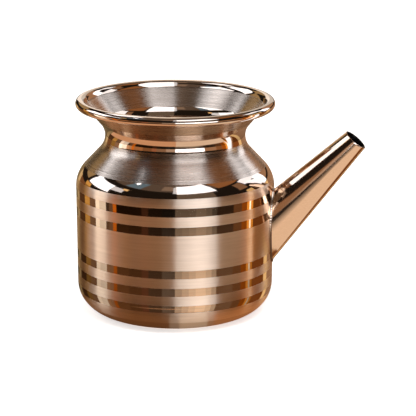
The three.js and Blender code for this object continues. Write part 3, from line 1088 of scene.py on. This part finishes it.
# %% Spout metal
SPOUT_TONES = ((0.74, 0.52, 0.36, 1), (0.84, 0.62, 0.46, 1))
SPOUT_ROUGHNESS = (0.05, 0.16)
SPOUT_WAVES = 60 * MICRON
SPOUT_WAVE_SCALE = 70.0
SPOUT_MARK_SCALES = (60, 2600, 2600)

# Mirror polish with faint lengthwise buffing marks and a slight waviness.
spout_metal, tree = new_material("spout_polish")
place = object_place(tree)
stretch = {"Vector": place, "Rotation": (0, SPOUT_SLOPE, 0), "Scale": SPOUT_MARK_SCALES}
marks = speckle(tree, add_node(tree, "ShaderNodeMapping", stretch).outputs[0], 1.0, 3.0, 0.6)
rough = ranged(tree, marks, 0, 1, *SPOUT_ROUGHNESS)
waves = speckle(tree, place, SPOUT_WAVE_SCALE, 1.0)
bare_metal(tree, mixed(tree, marks, *SPOUT_TONES), rough, waves, SPOUT_WAVES)
print("material", spout_metal.name)

# %% Spout
SPOUT_SIDES = 96
SPOUT_RINGS = 40
SPOUT_EDGE_BEVEL = 0.12 * MM
SPOUT_BORE_BEVEL = 0.42 * MM
SPOUT_SEAT = 0.05 * MM
SPOUT_HOLD = 0.010
SPOUT_HELD_OFF = 10 * MM


def circle_of_edges(bm, sides):
    """A circle of radius 1 with no face, as its edges."""
    made = bmesh.ops.create_circle(bm, cap_ends=False, radius=1, segments=sides)["verts"]
    return list({edge for vert in made for edge in vert.link_edges})


def draw_up(bm, loop, rings):
    """Extrudes a circle into an open tube of height 1. Returns its verts and its last loop."""
    verts = {vert for edge in loop for vert in edge.verts}
    for _ in range(rings):
        grown = bmesh.ops.extrude_edge_only(bm, edges=loop)["geom"]
        ring = [part for part in grown if isinstance(part, bmesh.types.BMVert)]
        edges = [part for part in grown if isinstance(part, bmesh.types.BMEdge)]
        loop = [edge for edge in edges if all(vert in ring for vert in edge.verts)]
        bmesh.ops.translate(bm, verts=ring, vec=(0, 0, 1 / rings))
        verts.update(ring)
    return verts, loop


def held_share(height):
    """A ring's share of the spout's length. The first and last rings stay close to the ends."""
    if height < 0.5 / SPOUT_RINGS:
        return 0
    if height > 1 - 0.5 / SPOUT_RINGS:
        return 1
    inner = (height - 1 / SPOUT_RINGS) / (1 - 2 / SPOUT_RINGS)
    return between((SPOUT_HOLD, 1 - SPOUT_HOLD), inner)


def spout_tube(bm, margin, clearance):
    """An open tube on the spout's face, grown by a margin. Returns its end loops and its verts."""
    root_loop = circle_of_edges(bm, SPOUT_SIDES)
    verts, mouth_loop = draw_up(bm, root_loop, SPOUT_RINGS)
    spans = {}
    for vert in verts:
        angle, key = angle_and_key(vert)
        if key not in spans:
            start = distance_at_wall(angle, margin, clearance)
            spans[key] = start, distance_at_mouth(angle, margin)
        distance = between(spans[key], held_share(vert.co.z))
        vert.co = spout_point(distance, angle, margin)
    return root_loop, mouth_loop, verts


def join_end(bm, outer_loop, inner_loop):
    """Joins two rings that lie in one plane, with the inner one held off so that they pair up."""
    inner = list({vert for edge in inner_loop for vert in edge.verts})
    bmesh.ops.translate(bm, verts=inner, vec=along_spout * SPOUT_HELD_OFF)
    bmesh.ops.bridge_loops(bm, edges=outer_loop + inner_loop)
    bmesh.ops.translate(bm, verts=inner, vec=-along_spout * SPOUT_HELD_OFF)


bm = bmesh.new()
outer_root, outer_mouth, _ = spout_tube(bm, 0, -SPOUT_SEAT)
inner_root, inner_mouth, inner_verts = spout_tube(bm, -SPOUT_SHEET, -SPOUT_SEAT)
# The inner face takes the bore's painted shade.
for face in bm.faces:
    face.material_index = int(all(vert in inner_verts for vert in face.verts))
join_end(bm, outer_root, inner_root)
join_end(bm, outer_mouth, inner_mouth)
bmesh.ops.recalc_face_normals(bm, faces=bm.faces)
rounded = {"offset_type": "OFFSET", "segments": 2, "profile": 0.5, "affect": "EDGES"}
# The wide bevel inside the mouth takes the bore's painted shade too.
bmesh.ops.bevel(bm, geom=inner_mouth, offset=SPOUT_BORE_BEVEL, material=1, **rounded)
bmesh.ops.bevel(bm, geom=outer_mouth, offset=SPOUT_EDGE_BEVEL, material=0, **rounded)
spout = to_object("spout_tube", bm, [spout_metal, FINISHES["dark"]])
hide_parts("spout_cone")
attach(spout, "root")

# %% [markdown]
# ## Pieces: the weld beads
# The bead round the spout's root is laid by hand, so it rises and falls in small ripples, smooth at
# the top where it was dressed and rough below. It is a ring of small circles moved onto the line
# between spout and wall. The seam under the spout is a flat ripple along its lowest line.

# %% Weld metal
WELD_DARK_BELOW = 42 * MM
WELD_BRIGHT_ABOVE = 46 * MM
WELD_MOTTLE = ((0.02, 0.012, 0.008, 1), (0.34, 0.22, 0.14, 1))
WELD_BRIGHT = (0.66, 0.52, 0.40, 1)
WELD_ROUGHNESS = (0.32, 0.12)
WELD_PITS = 80 * MICRON
WELD_PIT_SCALE = 900.0

# Bright and smooth high up the pot's wall, dark and mottled low down.
weld_metal, tree = new_material("weld_metal")
mottle = speckle(tree, object_place(tree), WELD_PIT_SCALE, 3.0, 0.65)
high_up = ranged(tree, object_axes(tree)[2], WELD_DARK_BELOW, WELD_BRIGHT_ABOVE)
colour = mixed(tree, high_up, mixed(tree, mottle, *WELD_MOTTLE), WELD_BRIGHT)
rough = ranged(tree, high_up, 0, 1, *WELD_ROUGHNESS)
bare_metal(tree, colour, rough, mottle, WELD_PITS)
print("material", weld_metal.name)

# %% Root bead
BEAD_RADIUS = 0.75 * MM
BEAD_STEPS = 360
BEAD_SIDES = 14
BEAD_SINK = 0.3 * MM
BEAD_RIPPLES = 84
BEAD_RIPPLE = 0.22
BEAD_RING = 2
BEAD_SAME_PLACE = 0.0001
BEAD_LOOK_ASIDE = 0.01

bm = bmesh.new()
section = bmesh.ops.create_circle(bm, cap_ends=False, radius=1, segments=BEAD_SIDES)["verts"]
bmesh.ops.rotate(bm, verts=section, matrix=Matrix.Rotation(math.pi / 2, 3, "X"))
bmesh.ops.translate(bm, verts=section, vec=(BEAD_RING, 0, 0))
spin_round(bm, section + bm.edges[:], BEAD_STEPS)
bmesh.ops.remove_doubles(bm, verts=bm.verts, dist=BEAD_SAME_PLACE)
corners = {}
for vert in bm.verts:
    angle, key = angle_and_key(vert)
    if key not in corners:
        centre = root_point(angle)
        along = root_point(angle + BEAD_LOOK_ASIDE) - root_point(angle - BEAD_LOOK_ASIDE)
        off_wall = Vector((centre.x, centre.y, 0)).normalized()
        low_half = 0.5 - 0.5 * math.sin(angle)
        ripple = 1 - BEAD_RIPPLE * low_half * abs(math.sin(angle * BEAD_RIPPLES / 2))
        corners[key] = centre, along.cross(off_wall).normalized(), off_wall, ripple
    centre, over_wall, off_wall, ripple = corners[key]
    outward = BEAD_RADIUS * ripple * (math.hypot(vert.co.x, vert.co.y) - BEAD_RING)
    off = BEAD_RADIUS * ripple * vert.co.z
    vert.co = centre + over_wall * max(-BEAD_SINK, outward) + off_wall * max(-BEAD_SINK, off)
root_bead = to_object("spout_root_bead", bm, [weld_metal])
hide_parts("spout_root_weld")
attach(root_bead, "root")

# %% Seam bead
SEAM_HALF_WIDTH = 0.6 * MM
SEAM_HALF_THICKNESS = 0.3 * MM
SEAM_SINK = 0.12 * MM
SEAM_SIDES = 12
SEAM_RINGS = 160
SEAM_RIPPLES = 60
SEAM_RIPPLE = 0.15
SEAM_END = 1.2 * MM

bm = bmesh.new()
bmesh.ops.create_cone(bm, cap_ends=True, segments=SEAM_SIDES, radius1=1, radius2=1, depth=1)
lines = [e for e in bm.edges if abs(e.verts[0].co.z - e.verts[1].co.z) > 0.5]
bmesh.ops.subdivide_edges(bm, edges=lines, cuts=SEAM_RINGS - 1)
seam_span = distance_at_wall(UNDERSIDE) + SEAM_END, distance_at_mouth(UNDERSIDE)
for vert in bm.verts:
    share = vert.co.z + 0.5
    ripple = 1 - SEAM_RIPPLE * abs(math.sin(share * math.pi * SEAM_RIPPLES))
    lowest = spout_point(between(seam_span, share), UNDERSIDE)
    across = vert.co.x * SEAM_HALF_WIDTH * ripple
    proud = vert.co.y * SEAM_HALF_THICKNESS * ripple - SEAM_SINK
    vert.co = lowest - up_from_spout * proud + Vector((0, across, 0))
seam_bead = to_object("spout_seam_bead", bm, [weld_metal])
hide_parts("spout_seam_weld")
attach(seam_bead, "root")
